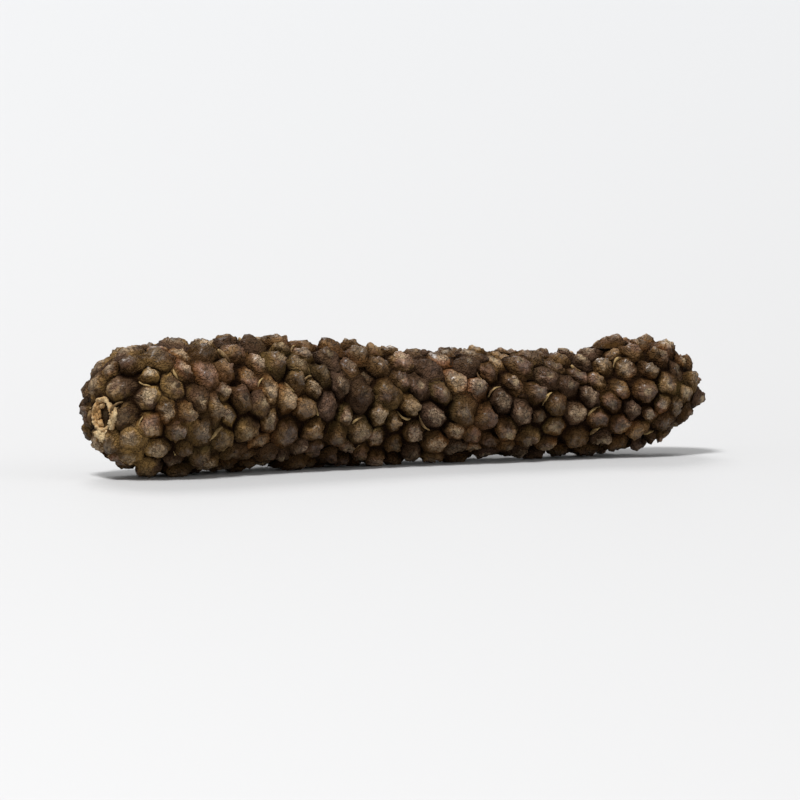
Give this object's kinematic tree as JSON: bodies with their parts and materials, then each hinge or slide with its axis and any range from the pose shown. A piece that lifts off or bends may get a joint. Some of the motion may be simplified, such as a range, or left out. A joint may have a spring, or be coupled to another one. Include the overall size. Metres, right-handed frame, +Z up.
{
  "type": "long pepper",
  "caption": "Dried long pepper: a slender, slightly bent fruit spike wrapped in small pressed-together berries, with a torn stalk scar at its blunt end.",
  "frame": {"origin": "centre of the bounding box in plan, on the plane that the spike rests on", "axes": "X runs along the spike, with the stalk end at -X and the tip at +X; Z is up from the table; the stalk end turns aside towards -Y"},
  "size_m": [0.036, 0.0092, 0.0072],
  "materials": {
    "dried_skin": "matt, dry and slightly dusty fruit skin"
  },
  "bodies": {
    "root": {"long_pepper": "dried_skin"}
  },
  "joints": []
}
